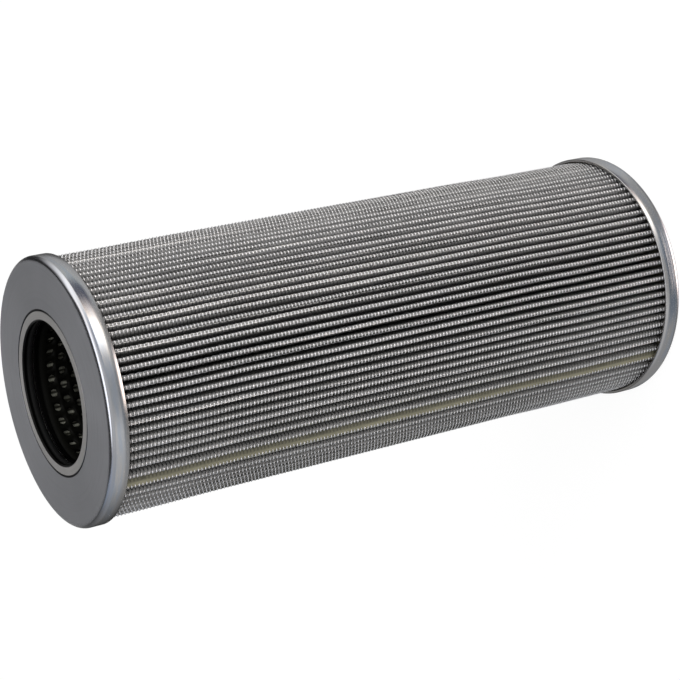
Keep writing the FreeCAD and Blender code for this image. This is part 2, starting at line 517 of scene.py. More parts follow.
def cap_finish(colours, name, outer_face, lip, crease=None):
    """Plated sheet: a satin face with faint turning arcs and a painted sheen, lighter along Y than along X, a
    burnished corner, and a rim with draw marks round it that turns in a little at its lip and is painted
    warmer there as a painted warm reflection."""
    finish = Finish(name, {"Metallic": 1.0, "Specular IOR Level": 0.5})
    z, radius, east, north = finish.round_axis()
    rim_height = abs(lip - outer_face)
    depth = (z - outer_face) * math.copysign(1.0, lip - outer_face)
    outside = finish.between(radius, CAP_RADIUS - 3.5 * MM, CAP_RADIUS - 2.2 * MM)
    burnished = finish.between(depth, 0.01 * MM, 0.22 * MM) * outside
    lip_turn_and_sheen = finish.between(depth, rim_height - 3.0 * MM, rim_height, "LINEAR")
    on_rim = finish.between(depth, 0.9 * MM, 2.2 * MM) * outside
    arcs = finish.streaks((radius + z) * 900.0, east * 1.5, north * 1.5, 4.0, 0.7)
    cloud = finish.noise(22.0)
    sweep = finish.streaks(east * 1.7, north * 1.7, radius * 30.0, 2.0)
    draws = finish.streaks(east * 4.0, north * 4.0, z * 1100.0, 4.0, 0.6)
    tints = finish.streaks(east * 3.0, north * 3.0, z * 520.0, 3.0, 0.6)
    # Painted sheen: the face is lighter where it faces along Y and darker along X, a turned face's highlights
    # painted into its colour.
    face = finish.mixed(north * north, toned(colours.face, 0.94), toned(colours.face, 1.24))
    face = finish.layered(face, colours.face, [
        (cloud, 0.35, 0.70, 0.40, 1.12), (sweep, 0.35, 0.65, 0.30, 0.84), (arcs, 0.45, 0.75, 0.35, 0.80)])
    if crease:
        # Painted shade: the V-groove round the collar's hole is darkened.
        face = groove_painted_dark(finish, face, radius, crease)
    red, green, blue = colours.rim
    warm, cool = (red * 1.05, green * 1.02, blue * 0.97), (red * 0.87, green * 0.93, blue * 1.00)
    rim = finish.mixed(finish.between(tints, 0.32, 0.68), warm, cool)
    # Painted warm reflection: the rim's colour turns warmer towards its lip; the same share also turns the
    # lip in through the bump.
    rim = finish.mixed(lip_turn_and_sheen * 0.7, rim, (red * 1.06, green * 0.99, blue * 0.90))
    return finish.give({
        "Base Color": finish.mixed(on_rim, face, rim),
        "Roughness": 0.34 - burnished * 0.22 + on_rim * 0.05 + arcs * 0.05 + cloud * 0.04,
        "Normal": finish.bump(arcs * 0.06 + draws * on_rim - lip_turn_and_sheen * lip_turn_and_sheen * 21.0, 0.035 * MM),
    })


def collar_finish(colours, crease):
    """Turned steel with fine tool marks round the axis, a painted highlight on the side towards +Y, and
    painted shade, near black, inside the bore.
    """
    finish = Finish("turned collar steel", {"Metallic": 1.0})
    z, radius, east, north = finish.round_axis()
    marks = finish.streaks((radius + z) * 2400.0, east * 0.8, north * 0.8, 3.0, 0.6)
    sweep = finish.streaks(east * 1.4, north * 1.4, z * 30.0, 2.0)
    # Painted highlight: the last layer lightens the side towards +Y, a turned finish's sheen painted into its
    # colour.
    face = finish.layered(colours.collar, colours.collar, [
        (sweep, 0.35, 0.70, 0.60, 1.18), (marks, 0.40, 0.70, 0.30, 0.80), (north, 0.70, 1.00, 0.45, 1.45)])
    # Painted shade: the V-groove round the collar's face is darkened.
    face = groove_painted_dark(finish, face, radius, crease)
    # Painted shade: the bore's lead-in and walls are painted near black.
    bore_painted_shade = finish.between(radius, BORE_RADIUS + 0.62 * MM, BORE_RADIUS + 0.45 * MM)
    return finish.give({
        "Base Color": finish.mixed(bore_painted_shade, face, toned(colours.collar, 0.02)),
        "Roughness": 0.30 + marks * 0.10,
        "Normal": finish.bump(marks, 0.006 * MM, 0.6),
    })


def rubber_finish(colours):
    """Moulded black rubber with a slight gloss and a film of oil in patches."""
    finish = Finish("seal rubber", {"Specular IOR Level": 0.03})
    cloud = finish.noise(260.0)
    grain = finish.noise(5200.0, 2.0)
    return finish.give({
        "Base Color": finish.toned(cloud, colours.rubber, 1.8),
        "Roughness": 0.24 + finish.between(cloud, 0.4, 0.7) * 0.20,
        "Normal": finish.bump(grain, 0.004 * MM, 0.4),
    })


def tube_finish(colours):
    """Dark plated sheet, oily and a little uneven. Its near-black colour is partly painted shade of the deep
    bore.
    """
    finish = Finish("core tube sheet", {"Specular IOR Level": 0.06})
    cloud = finish.noise(120.0, 4.0)
    return finish.give({
        "Base Color": finish.toned(cloud, colours.tube, 0.55),
        "Metallic": cloud * 0.1,
        "Roughness": 0.42 + cloud * 0.2,
        "Normal": finish.bump(cloud, 0.02 * MM, 0.5),
    })


def resin_finish(colours):
    """Cast adhesive with fine bubbles in its surface."""
    finish = Finish("potting resin", {"Specular IOR Level": 0.45})
    bubbles = finish.node("ShaderNodeTexVoronoi", inputs={"Vector": finish.place(), "Scale": 900.0})
    cloud = finish.noise(90.0)
    return finish.give({
        "Base Color": finish.toned(cloud, colours.resin, 0.7),
        "Roughness": 0.45 + cloud * 0.2,
        "Normal": finish.bump(bubbles, 0.05 * MM, 0.4),
    })


def wire_finish(colours):
    """Bright drawn wire, each length a little duller or brighter than the next. Painted highlights make it
    brightest on the two shoulders of the crest, and painted shade darkens it further down and where the thin
    wires run along the pleat."""
    finish = Finish("cloth wire", {"Metallic": 1.0})
    across, along = finish.mapped()
    patch = finish.streaks(across * 9.0, along * 160.0, 0.0, 3.0, 0.6)
    aside = (across - 0.5).size()
    # Painted highlights: two bright rows, one on each shoulder of the crest.
    shoulder = (aside - 0.045).size()
    bright = finish.layered(colours.wire, colours.wire, [(patch, 0.3, 0.7, 0.5, 0.82)])
    # Painted shade on the wires where the thin wires run along the pleat.
    runner_painted_shade = finish.between((aside - 0.105).size(), 0.030, 0.012)
    # Painted shade: darker tones for the wire down the pleat's sides.
    painted_shade_tones = finish.mixed(runner_painted_shade, toned(colours.wire, 0.31), toned(colours.wire, 0.21))
    return finish.give({
        "Base Color": finish.mixed(finish.between(shoulder, 0.0, 0.12) + runner_painted_shade * 0.12, bright, painted_shade_tones),
        "Roughness": 0.32 + patch * 0.14,
    })


def sheet_finish(colours):
    """The sheet under the wires: pale on the crests and dark deep in the pleats, painted light and shade for
    where light reaches it.
    """
    finish = Finish("pleated sheet", {"Specular IOR Level": 0.3})
    radius = finish.round_axis()[1]
    fibres = finish.noise(1500.0)
    cloud = finish.noise(70.0, 2.0)
    # Painted light and shade: the sheet is pale on the crests and turns dark deep in the pleats.
    painted_light_on_crests = finish.between(radius, CAP_RADIUS - 4.8 * MM, CAP_RADIUS - 2.1 * MM)
    pale = finish.toned(finish.between(cloud, 0.3, 0.7), colours.sheet, 0.8)
    return finish.give({
        "Base Color": finish.mixed(painted_light_on_crests, toned(colours.sheet, 0.26), pale),
        "Roughness": 0.62 + fibres * 0.2,
        "Normal": finish.bump(fibres, 0.05 * MM, 0.6),
    })


def seam_finish(colours, rungs):
    """Cured olive adhesive, matt, which thins out towards one pleat so that its wires tell through, and is
    painted dark there as painted shade where it slopes down.
    """
    finish = Finish("seam adhesive", {"Specular IOR Level": 0.35})
    across, along = finish.mapped()
    cloud = finish.noise(160.0, 4.0)
    grain = finish.noise(1400.0)
    thin = finish.between(across, 0.24, 0.62)
    wires = (along * (math.pi * rungs)).wave().size()
    told = finish.between(wires, 0.2, 0.9) * (thin * 0.75 + 0.25) * finish.between(cloud, 0.25, 0.5)
    olive = finish.toned(finish.between(cloud, 0.35, 0.7), colours.seam, 0.8)
    # Painted shade: the adhesive turns dark where it slopes down beside the thin side.
    olive = finish.mixed(thin, olive, toned(colours.seam, 0.26))
    return finish.give({
        "Base Color": finish.mixed(told * 0.5, olive, toned(colours.seam, 0.75)),
        "Roughness": 0.58 + grain * 0.15,
        "Normal": finish.bump(grain * 0.4 + told, 0.07 * MM, 0.6),
    })


def inner_cloth_finish(cloth):
    """The inner wire cloth, seen through the tube's holes: painted glints where it bends round each pleat's
    root and in some patches, painted shade elsewhere.
    """
    finish = Finish("inner wire cloth", {"Metallic": 0.7})
    x, y, z = finish.parts(finish.place())
    angles = crest_angles(cloth)
    middle = len(angles) // 2
    pleat_pitch = angles[middle + 1] - angles[middle]
    wire_pitch = 0.72 * MM
    turn = (y.reckon("ARCTAN2", y, x) - angles[middle]) * (math.pi / pleat_pitch)
    root = finish.between(turn.wave().size(), 0.35, 1.0)
    wires = (z * (math.pi / wire_pitch)).wave().size()
    cloud = finish.noise(300.0, 2.0)
    patch = finish.noise(230.0, 1.0)
    # Painted glints: the root ridges and some patches are painted bright, the rest near black as painted
    # shade.
    bright = root * (wires * 0.35 + 0.65) * (finish.between(patch, 0.36, 0.62) * 0.75 + 0.25)
    return finish.give({
        "Base Color": finish.mixed(bright, (0.03, 0.03, 0.02), (0.50, 0.50, 0.42)),
        "Roughness": 0.48 + cloud * 0.16,
    })


def crest_angles(cloth):
    """The angle of each crest round the axis: evenly spaced, but opened out beside the seam."""
    gaps = []
    for number in range(cloth.pleats - 1):
        from_seam = min(number, cloth.pleats - 2 - number)
        gaps.append(1 + cloth.seam_spread * math.exp(-from_seam / cloth.seam_reach))
    scale = (math.tau - cloth.seam_gap) / sum(gaps)
    angles = [cloth.seam_place + cloth.seam_gap / 2]
    for gap in gaps:
        angles.append(angles[-1] + gap * scale)
    return angles


def along_pack(heights):
    """How far up the pack some heights are, from 0 to 1."""
    return (heights - PACK_BOTTOM) / PACK_HEIGHT


def eased(share):
    """A rise from 0 to 1 that starts and ends gently."""
    share = np.clip(share, 0, 1)
    return share * share * (3 - 2 * share)


def straying(cloth, number, heights):
    """How far a pleat strays sideways at some heights. Each pleat has two waves of its own."""
    along = along_pack(heights)
    held = np.sin(np.pi * np.clip(along, 0, 1)) ** 0.5
    long_wave = np.sin(2.3 * math.tau * along + 1.7 * number)
    short_wave = np.sin(4.1 * math.tau * along + 2.9 * number)
    return cloth.waver * held * (long_wave + 0.6 * short_wave)


def bulging(cloth, heights):
    """How far the pack stands off the axis at some heights: not at its ends, where the caps hold it."""
    along = along_pack(heights)
    return cloth.bulge * eased((along - 0.16) / 0.10) * eased((0.92 - along) / 0.14)


def at_crest(angle, radial, aside, heights):
    """Points given by their radius along a crest's angle, their place aside of it and their height."""
    cosine, sine = np.cos(angle), np.sin(angle)
    return np.stack([radial * cosine - aside * sine, radial * sine + aside * cosine, heights], axis=-1)


def shoulder_lengths(cloth):
    """The length of cloth in the bend over half a crest, and in the slope from there to the upright side."""
    bent = cloth.bend * cloth.slope
    sloping = (cloth.half_width - cloth.bend * math.sin(cloth.slope)) / math.cos(cloth.slope)
    return bent, sloping


def folded(cloth, across, out):
    """Where points of the flat cloth come to lie aside of and along a crest's angle once it is folded.

    The cloth bends over the crest, slopes down to the pleat's upright side and then runs straight in."""
    length = np.abs(across)
    bent, sloping = shoulder_lengths(cloth)
    turn = np.minimum(length / cloth.bend, cloth.slope)
    slid = np.clip(length - bent, 0, sloping)
    sunk = np.maximum(length - bent - sloping, 0)
    upright = np.clip(sunk / UPRIGHT_TURN, 0, 1)
    facing = turn + (math.pi / 2 - cloth.slope) * upright
    aside = cloth.bend * np.sin(turn) + slid * math.cos(cloth.slope) + out * np.sin(facing)
    depth = cloth.bend * (1 - np.cos(turn)) + slid * math.sin(cloth.slope) + sunk
    return np.sign(across) * aside, cloth.crest - depth + out * np.cos(facing)


def long_bar(bm, sides, radius, stations, turn, pointed=False):
    """A bar along Z with a ring of corners at each station, turned into place."""
    ring = bmesh.ops.create_circle(bm, segments=sides, radius=radius, cap_ends=True,
                                   matrix=Matrix.Translation((0, 0, stations[0])))
    first = list(ring["verts"])
    made = first[:]
    edges = list(first[0].link_faces[0].edges)
    for before, after in zip(stations, stations[1:]):
        corners, edges = drawn_on(bm, edges, after - before)
        made += corners
    if pointed:
        bmesh.ops.pointmerge(bm, verts=first, merge_co=(0, 0, stations[0]))
        bmesh.ops.pointmerge(bm, verts=corners, merge_co=(0, 0, stations[-1]))
        made = [corner for corner in made if corner.is_valid]
    else:
        bmesh.ops.edgeloop_fill(bm, edges=edges)
    bmesh.ops.transform(bm, matrix=turn, verts=made)


def flat_rungs(cloth, pitch):
    """The wires that cross one pleat, laid flat: X across the pleat, Y out of the cloth, Z along it."""
    bent, sloping = shoulder_lengths(cloth)
    side = [bent, bent + sloping, cloth.reach]
    stations = [-place for place in reversed(side)] + [0.0] + side
    bm = bmesh.new()
    long_bar(bm, 4, cloth.wire, stations, Matrix.Rotation(math.pi / 2, 4, "Y"), pointed=True)
    bmesh.ops.translate(bm, verts=bm.verts, vec=(0, 0, PACK_BOTTOM + pitch / 2))
    repeated(bm, [(0, 0, pitch * number) for number in range(1, cloth.rungs)])
    return bm


def flat_runners(cloth, pitch):
    """The wires along one pleat, laid flat, with a ring of corners at each wire that they cross."""
    crossings = [PACK_BOTTOM + pitch * (number + 0.5) for number in range(cloth.rungs)]
    stations = [PACK_BOTTOM, *crossings, PACK_TOP]
    bm = bmesh.new()
    for place in (-0.5 * cloth.cell, 0.5 * cloth.cell):
        long_bar(bm, 3, cloth.runner, stations, Matrix.Translation((place, 0, 0)))
    return bm


def places_of(mesh):
    """The places of a mesh's corners, a row for each."""
    places = np.empty(len(mesh.vertices) * 3)
    mesh.vertices.foreach_get("co", places)
    return places.reshape(-1, 3)


def lay_map(mesh, places, cloth):
    """Gives a flat mesh its map: across the pleat and along it, from 0 to 1."""
    layer = mesh.uv_layers.new(name=MAP)
    corners = np.empty(len(mesh.loops), dtype=np.int32)
    mesh.loops.foreach_get("vertex_index", corners)
    across = (places[corners, 0] + cloth.reach) / (2 * cloth.reach)
    layer.data.foreach_set("uv", np.stack([across, along_pack(places[corners, 2])], axis=1).ravel())


def woven(cloth, places, pitch, number, runs_along):
    """The flat wires of one pleat, woven over and under each other and folded over its crest. The thin wires
    of each pleat drift across it in their own way."""
    heights = places[:, 2]
    sway = np.sin(math.tau * along_pack(heights) + 1.3 * number)
    drift = (0.30 * math.sin(2.4 * number) + 0.12 * sway) * cloth.cell
    wire = np.round((heights - PACK_BOTTOM) / pitch - 0.5)
    across = places[:, 0] + (drift if runs_along else 0)
    over = np.sin(math.pi * (across - drift) / cloth.cell) * np.where(wire % 2 == 0, 1.0, -1.0)
    lift = -cloth.runner_weave * over - cloth.wire * 0.3 if runs_along else cloth.weave * over
    aside, radial = folded(cloth, across, places[:, 1] + lift)
    return aside + straying(cloth, number, heights), radial


class FILTER_OT_stage(bpy.types.Operator):
    """Lays the floor, hangs the lamps and sets the camera where the photograph was taken"""
    bl_idname = "filter_element.stage"
    bl_label = "Stage"

    def execute(self, context):
        settings = context.scene.filter_stage
        self.lay_floor(settings)
        self.light_room(context, settings)
        self.hang_lamps(settings)
        self.hang_tent()
        self.set_camera(context)
        context.scene.view_settings.view_transform = "Standard"
        return {"FINISHED"}

    @staticmethod
    def seen_white(finish):
        """1 for rays from the camera, from gloss and through glass."""
        path = finish.node("ShaderNodeLightPath").socket.node.outputs
        rays = ("Is Camera Ray", "Is Glossy Ray", "Is Transmission Ray")
        camera, glossy, passing = [Value(finish, path[name]) for name in rays]
        return camera.reckon("MAXIMUM", camera.reckon("MAXIMUM", camera, glossy), passing)

    def lay_floor(self, settings):
        bm = bmesh.new()
        bmesh.ops.create_circle(bm, segments=STAGE_SIDES, radius=settings.floor_radius, cap_ends=True,
                                matrix=Matrix.Translation((0, 0, -FLOOR_DROP)))
        floor = placed("floor", as_mesh("floor", bm))
        floor.visible_glossy = False
        finish = Finish("pale floor", {"Base Color": (0.86, 0.86, 0.86, 1.0), "Roughness": 0.9,
                                       "Specular IOR Level": 0.1})
        white = finish.node("ShaderNodeEmission", inputs={"Color": (1, 1, 1, 1), "Strength": 1.12})
        shader = Value(finish, finish.shader.outputs[0])
        share = self.seen_white(finish) * settings.whiteness
        seen = finish.node("ShaderNodeMixShader", inputs={0: share, 1: shader, 2: white})
        behind = finish.node("ShaderNodeNewGeometry", output="Backfacing")
        clear = finish.node("ShaderNodeBsdfTransparent")
        surface = finish.node("ShaderNodeMixShader", inputs={0: behind, 1: seen, 2: clear})
        finish.feed(finish.tree.nodes["Material Output"].inputs["Surface"], surface)
        floor.data.materials.append(finish.material)

    def light_room(self, context, settings):
        """Soft light all round, and plain white where the room itself is seen."""
        world = bpy.data.worlds.new("white room")
        world.use_nodes = True
        context.scene.world = world
        room = Nodes(world.node_tree)
        room.tree.nodes.remove(room.tree.nodes["Background"])
        white_light = {"Color": (1, 1, 1, 1), "Strength": 1.0}
        soft_light = {**white_light, "Strength": settings.room_light}
        soft, white = [room.node("ShaderNodeBackground", inputs=light) for light in (soft_light, white_light)]
        surface = room.node("ShaderNodeMixShader", inputs={0: self.seen_white(room), 1: soft, 2: white})
        room.feed(room.tree.nodes["World Output"].inputs["Surface"], surface)

    def hang_lamps(self, settings):
        lamps = {
            "key lamp": (Vector((1.3, -1.2, 1.5)), 1.6, settings.key_power),
            "fill lamp": (Vector((0.2, -1.9, 1.0)), 1.2, settings.fill_power),
        }
        middle = Vector((0, 0, CAP_TOP / 2))
        for name, (place, side, power) in lamps.items():
            lamp = bpy.data.lights.new(name, "AREA")
            lamp.shape = "SQUARE"
            lamp.size = side
            lamp.energy = power
            hung = placed(name, lamp)
            hung.location = place
            hung.rotation_euler = (middle - place).to_track_quat("-Z", "Y").to_euler()

    def hang_tent(self):
        """A light tent that only gloss sees: what the bright metal mirrors, light and dark round the axis."""
        bm = bmesh.new()
        bmesh.ops.create_cone(bm, cap_ends=True, segments=STAGE_SIDES, radius1=TENT_RADIUS,
                              radius2=TENT_RADIUS, depth=TENT_HEIGHT,
                              matrix=Matrix.Translation((0, 0, TENT_MIDDLE)))
        tent = placed("light tent", as_mesh("light tent", bm))
        for rays in ("camera", "diffuse", "transmission", "volume_scatter", "shadow"):
            setattr(tent, f"visible_{rays}", False)
        finish = Finish("light tent", {"Base Color": (0, 0, 0, 1), "Specular IOR Level": 0.0,
                                       "Roughness": 1.0, "Emission Strength": TENT_STRENGTH})
        x, y, z = finish.parts(finish.place())
        turn = y.reckon("ARCTAN2", y, x) / math.tau + 0.5
        below = finish.between(y, 0.10, -0.16) * finish.between(x.size(), 0.28, 0.10)
        light = finish.mixed(below, (0.08, 0.08, 0.08), (1.40, 1.19, 1.09))
        for name, (low, high) in TENT_ROWS.items():
            row = finish.ramp(turn, tent_stops(MIRRORS[name]))
            light = finish.mixed(finish.between(z, low, high), light, row)
        roof = finish.mixed(finish.between(y, -0.06, -0.28), (0.02, 0.02, 0.02), (0.66, 0.67, 0.70))
        finish.give({"Emission Color": finish.mixed(finish.between(z, *TENT_ROOF), light, roof)})
        finish.material.cycles.emission_sampling = "NONE"
        tent.data.materials.append(finish.material)

    def set_camera(self, context):
        data = bpy.data.cameras.new("camera")
        data.lens = CAMERA_LENS
        data.sensor_width = SENSOR_WIDTH
        camera = placed("camera", data)
        level = (CAMERA_AIM - CAMERA_PLACE).to_track_quat("-Z", "Y").to_matrix()
        rolled = level @ Matrix.Rotation(CAMERA_ROLL, 3, "Z")
        camera.matrix_world = Matrix.Translation(CAMERA_PLACE) @ rolled.to_4x4()
        context.scene.camera = camera


class FILTER_OT_end_caps(bpy.types.Operator):
    """Turns the two pressed end caps"""
    bl_idname = "filter_element.end_caps"
    bl_label = "End caps"

    def execute(self, context):
        sizes, colours = context.scene.filter_caps, context.scene.filter_colours
        inner_radius = CAP_RADIUS - sizes.sheet
        underside = CAP_TOP - sizes.sheet
        open_cap = turned([
            (sizes.hole_radius, underside), (sizes.hole_radius, CAP_TOP - sizes.edge_break),
            (sizes.hole_radius + sizes.edge_break, CAP_TOP), (CAP_RADIUS, CAP_TOP),
            (CAP_RADIUS, OPEN_RIM_END), (inner_radius, OPEN_RIM_END), (inner_radius, underside),
        ], sizes.steps)
        self.finish_cup(open_cap, sizes, CAP_TOP, underside, OPEN_RIM_END)
        finish = cap_finish(colours, "open cap steel", CAP_TOP, OPEN_RIM_END, sizes.hole_radius)
        mesh = as_mesh("cap_open_shell", open_cap)
        add_piece(mesh, finish, ["end_cap_open"], weighted=True)

        floor = sizes.dish_mouth - sizes.dish_wall
        raised = sizes.dish_depth + sizes.sheet
        blind_cap = turned([
            (0.0, sizes.dish_depth), (floor, sizes.dish_depth), (sizes.dish_mouth, 0.0),
            (CAP_RADIUS, 0.0), (CAP_RADIUS, BLIND_RIM_END), (inner_radius, BLIND_RIM_END),
            (inner_radius, sizes.sheet), (sizes.dish_mouth, sizes.sheet), (floor, raised), (0.0, raised),
        ], sizes.steps)
        self.finish_cup(blind_cap, sizes, 0.0, sizes.sheet, BLIND_RIM_END)
        for radius, height in ((sizes.dish_mouth, 0.0), (floor, sizes.dish_depth)):
            round_edge(blind_cap, radius, height, DISH_ROUND, 4)
        finish = cap_finish(colours, "blind cap steel", 0.0, BLIND_RIM_END)
        mesh = as_mesh("cap_blind_shell", blind_cap)
        add_piece(mesh, finish, ["end_cap_blind"], weighted=True)
        return {"FINISHED"}

    @staticmethod
    def finish_cup(bm, sizes, face, inside, rim_end):
        """Rounds the pressed corner and the sheared lip of a cup."""
        inner_radius = CAP_RADIUS - sizes.sheet
        round_edge(bm, CAP_RADIUS, face, sizes.corner, 10)
        round_edge(bm, inner_radius, inside, sizes.corner - sizes.sheet, 5)
        round_edge(bm, CAP_RADIUS, rim_end, LIP_ROUND, 4)
        round_edge(bm, inner_radius, rim_end, BURR_ROUND, 2)


class FILTER_OT_collar(bpy.types.Operator):
    """Turns the collar round the bore"""
    bl_idname = "filter_element.collar"
    bl_label = "Bore collar"

    def execute(self, context):
        sizes, caps = context.scene.filter_collar, context.scene.filter_caps
        face_radius = caps.hole_radius - sizes.fit
        underside = CAP_TOP - caps.sheet
        groove_top = CAP_TOP - sizes.upper_land
        groove_bottom = groove_top - sizes.groove_width
        flange_bottom = COLLAR_BOTTOM + sizes.lip_height
        lip_radius = BORE_RADIUS + sizes.lip_wall
        outer_break = (face_radius - caps.edge_break, CAP_TOP)
        lead_in = (BORE_RADIUS + sizes.lead_in, CAP_TOP)
        collar = turned([
            (BORE_RADIUS, COLLAR_BOTTOM), (lip_radius, COLLAR_BOTTOM), (lip_radius, flange_bottom),
            (COLLAR_FLANGE_RADIUS, flange_bottom), (COLLAR_FLANGE_RADIUS, underside),
            (face_radius, underside), (face_radius, CAP_TOP - caps.edge_break), outer_break,
            lead_in, (BORE_RADIUS, CAP_TOP - sizes.lead_in), (BORE_RADIUS, groove_top),
            (GROOVE_RADIUS, groove_top), (GROOVE_RADIUS, groove_bottom), (BORE_RADIUS, groove_bottom),
        ], caps.steps)
        for edge in (outer_break, lead_in, (BORE_RADIUS, groove_top), (BORE_RADIUS, groove_bottom)):
            round_edge(collar, *edge, COLLAR_ROUND, 2)
        finish = collar_finish(context.scene.filter_colours, caps.hole_radius)
        add_piece(as_mesh("collar_ring", collar), finish, ["bore_collar"], weighted=True)
        return {"FINISHED"}


class FILTER_OT_seal(bpy.types.Operator):
    """Moulds the rubber ring in the bore"""
    bl_idname = "filter_element.seal"
    bl_label = "Bore seal"

    def execute(self, context):
        section = SEAL_SECTION / 2
        middle = Matrix.Translation((GROOVE_RADIUS - section, 0, SEAL_LOW.z + section))
        bm = bmesh.new()
        bmesh.ops.create_circle(bm, segments=SEAL_SIDES, radius=section,
                                matrix=middle @ Matrix.Rotation(math.pi / 2, 4, "X"))
        mesh = as_mesh("seal_ring", spun(bm, context.scene.filter_caps.steps))
        add_piece(mesh, rubber_finish(context.scene.filter_colours), ["bore_seal"])
        return {"FINISHED"}


class FILTER_OT_core_tube(bpy.types.Operator):
    """Rolls the perforated core tube"""
    bl_idname = "filter_element.core_tube"
    bl_label = "Core tube"

    def execute(self, context):
        sizes = context.scene.filter_tube
        pitch = sizes.ring_pitch
        inner_radius = TUBE_RADIUS - sizes.wall
        width = math.tau / sizes.holes_round
        top_ring = TUBE_TOP - sizes.border
        rings = int((top_ring - TUBE_BOTTOM - sizes.border) / pitch) + 1
        bm = bmesh.new()
        self.lay_cell(bm, sizes, width, inner_radius)
        bmesh.ops.translate(bm, verts=bm.verts, vec=(0, 0, top_ring))
        repeated(bm, [(number * width, 0, 0) for number in range(1, sizes.holes_round)])
        repeated(bm, [(number % 2 * width / 2, 0, -number * pitch) for number in range(1, rings)])
        for corner in bm.verts:
            turn = corner.co.x
            corner.co = (inner_radius * math.cos(turn), inner_radius * math.sin(turn), corner.co.z)
        bmesh.ops.remove_doubles(bm, verts=bm.verts, dist=10 * MERGED)
        self.lengthen(bm, top_ring + pitch / 2, TUBE_TOP)
        self.lengthen(bm, top_ring - (rings - 1) * pitch - pitch / 2, TUBE_BOTTOM)
        bmesh.ops.recalc_face_normals(bm, faces=bm.faces)
        finish = tube_finish(context.scene.filter_colours)
        tube = add_piece(as_mesh("tube_sheet", bm), finish, ["core_tube"])
        wall = tube.modifiers.new("Wall", "SOLIDIFY")
        wall.thickness = sizes.wall
        wall.offset = 1.0
        wall.use_even_offset = True
        return {"FINISHED"}

    @staticmethod
    def lay_cell(bm, sizes, width, radius):
        """Lays one hole in its cell flat: X is the angle round the tube, Z is the height."""
        bmesh.ops.create_circle(bm, segments=HOLE_SIDES, radius=sizes.hole,
                                matrix=Matrix.Rotation(math.pi / 2, 4, "X"))
        half_cell = (width * radius / 2, sizes.ring_pitch / 2)
        middle = sizes.hole / 10
        for corner in drawn_on(bm, bm.edges[:], 0.0)[0]:
            across, along = [0.0 if abs(place) < middle else math.copysign(half, place)
                             for place, half in zip(corner.co.xz, half_cell)]
            corner.co = (across, 0, along)
        bmesh.ops.scale(bm, verts=bm.verts, vec=(1 / radius, 1, 1))

    @staticmethod
    def lengthen(bm, edge_height, end_height):
        """Draws the free edge at one height out to the tube's end."""
        rim = [edge for edge in bm.edges if edge.is_boundary
               and all(abs(corner.co.z - edge_height) < 0.05 * MM for corner in edge.verts)]
        drawn_on(bm, rim, end_height - edge_height)


class FILTER_OT_pleated_sheet(bpy.types.Operator):
    """Folds the sheet under the wire cloth, and dresses the inner cloth"""
    bl_idname = "filter_element.pleated_sheet"
    bl_label = "Pleated sheet"

    def execute(self, context):
        cloth = context.scene.filter_cloth
        bm = bmesh.new()
        angles = crest_angles(cloth)
        corners = [bm.verts.new(place) for place in self.fold_line(cloth, angles)]
        edges = [bm.edges.new(pair) for pair in zip(corners, corners[1:])]
        for step in range(cloth.steps):
            edges = drawn_on(bm, edges, PACK_HEIGHT / cloth.steps)[1]
        bmesh.ops.recalc_face_normals(bm, faces=bm.faces)
        mesh = as_mesh("pleat_sheet", bm)
        self.stray(mesh, cloth, np.array(angles))
        if mesh.polygons[0].normal.dot(mesh.polygons[0].center) < 0:
            mesh.flip_normals()
        finish = sheet_finish(context.scene.filter_colours)
        sheet = add_piece(mesh, finish, ["filter_media", "support_fleece"], sharp=60)
        wall = sheet.modifiers.new("Thickness", "SOLIDIFY")
        wall.thickness = cloth.sheet
        wall.offset = -1.0
        dress("inner_mesh", inner_cloth_finish(cloth))
        return {"FINISHED"}

    @staticmethod
    def fold_line(cloth, angles):
        """The folded sheet's line at the pack's bottom, which follows the wires over each crest."""
        bent = shoulder_lengths(cloth)[0]
        side = np.array([0.5 * bent, bent, SHEET_SHOULDER])
        across = np.concatenate([-side[::-1], [0.0], side])
        aside, radial = folded(cloth, across, -1.05 * cloth.wire)
        line = [at_crest(cloth.seam_place, cloth.root, SHEET_END_GAP, PACK_BOTTOM)]
        for angle, following in zip(angles, angles[1:] + [None]):
            line += list(at_crest(angle, radial, aside, np.full(len(across), PACK_BOTTOM)))
            if following:
                line.append(at_crest((angle + following) / 2, cloth.root, 0.0, PACK_BOTTOM))
        line.append(at_crest(cloth.seam_place, cloth.root, -SHEET_END_GAP, PACK_BOTTOM))
        return line

    @staticmethod
    def stray(mesh, cloth, angles):
        """Moves each pleat of the sheet as its wires stray: most at its crest, not at all at its roots."""
        places = places_of(mesh)
        turn = np.arctan2(places[:, 1], places[:, 0])
        away = (turn[:, None] - angles[None, :] + math.pi) % math.tau - math.pi
        number = np.abs(away).argmin(axis=1)
        radial = np.hypot(places[:, 0], places[:, 1])
        share = np.clip((radial - cloth.root) / (cloth.crest - cloth.root), 0, 1)
        aside = straying(cloth, number, places[:, 2]) * share
        places[:, 0] += bulging(cloth, places[:, 2]) * share - aside * np.sin(angles[number])
        places[:, 1] += aside * np.cos(angles[number])
        mesh.vertices.foreach_set("co", places.ravel())


